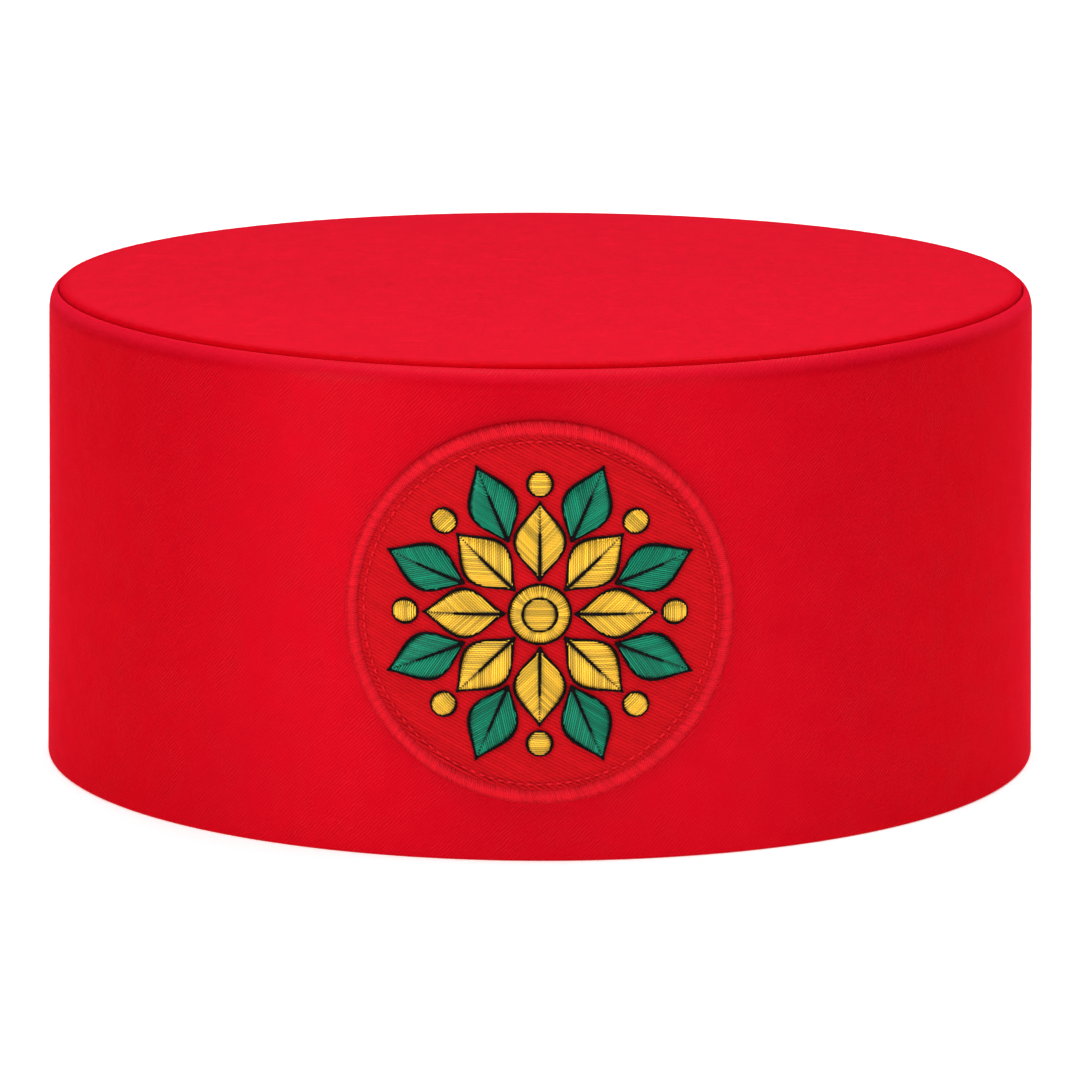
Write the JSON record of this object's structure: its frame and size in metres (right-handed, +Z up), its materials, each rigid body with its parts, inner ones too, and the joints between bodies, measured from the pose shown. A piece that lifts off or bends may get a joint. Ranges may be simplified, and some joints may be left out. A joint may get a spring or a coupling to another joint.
{
  "type": "pillbox cap",
  "caption": "Round flat-topped pillbox cap of red satin with a sewn-in top, a folded side band and a round embroidered patch on the front; worn on the head and rests on its rim.",
  "frame": {"origin": "centre of the rim, on the plane that the cap rests on", "axes": "+Z up through the top disc; -Y is the front, where the patch is; +X is to the right seen from the front"},
  "size_m": [0.1886, 0.1908, 0.0906],
  "materials": {
    "red_satin": "woven satin with a soft sheen",
    "red_twill": "matte diagonal twill",
    "red_thread": "overlocked embroidery thread",
    "gold_thread": "satin-stitched embroidery thread",
    "green_thread": "satin-stitched embroidery thread",
    "black_thread": "stem-stitched outline thread"
  },
  "bodies": {
    "root": {"side_band": "red_satin", "top_disc": "red_satin", "patch_ground": "red_twill", "patch_border": "red_thread", "boss": "gold_thread", "petal_1": "gold_thread", "petal_2": "gold_thread", "petal_3": "gold_thread", "petal_4": "gold_thread", "petal_5": "gold_thread", "petal_6": "gold_thread", "petal_7": "gold_thread", "petal_8": "gold_thread", "sepal_1": "green_thread", "sepal_2": "green_thread", "sepal_3": "green_thread", "sepal_4": "green_thread", "sepal_5": "green_thread", "sepal_6": "green_thread", "sepal_7": "green_thread", "sepal_8": "green_thread", "knot_1": "gold_thread", "knot_2": "gold_thread", "knot_3": "gold_thread", "knot_4": "gold_thread", "knot_5": "gold_thread", "knot_6": "gold_thread", "knot_7": "gold_thread", "knot_8": "gold_thread"}
  },
  "joints": []
}
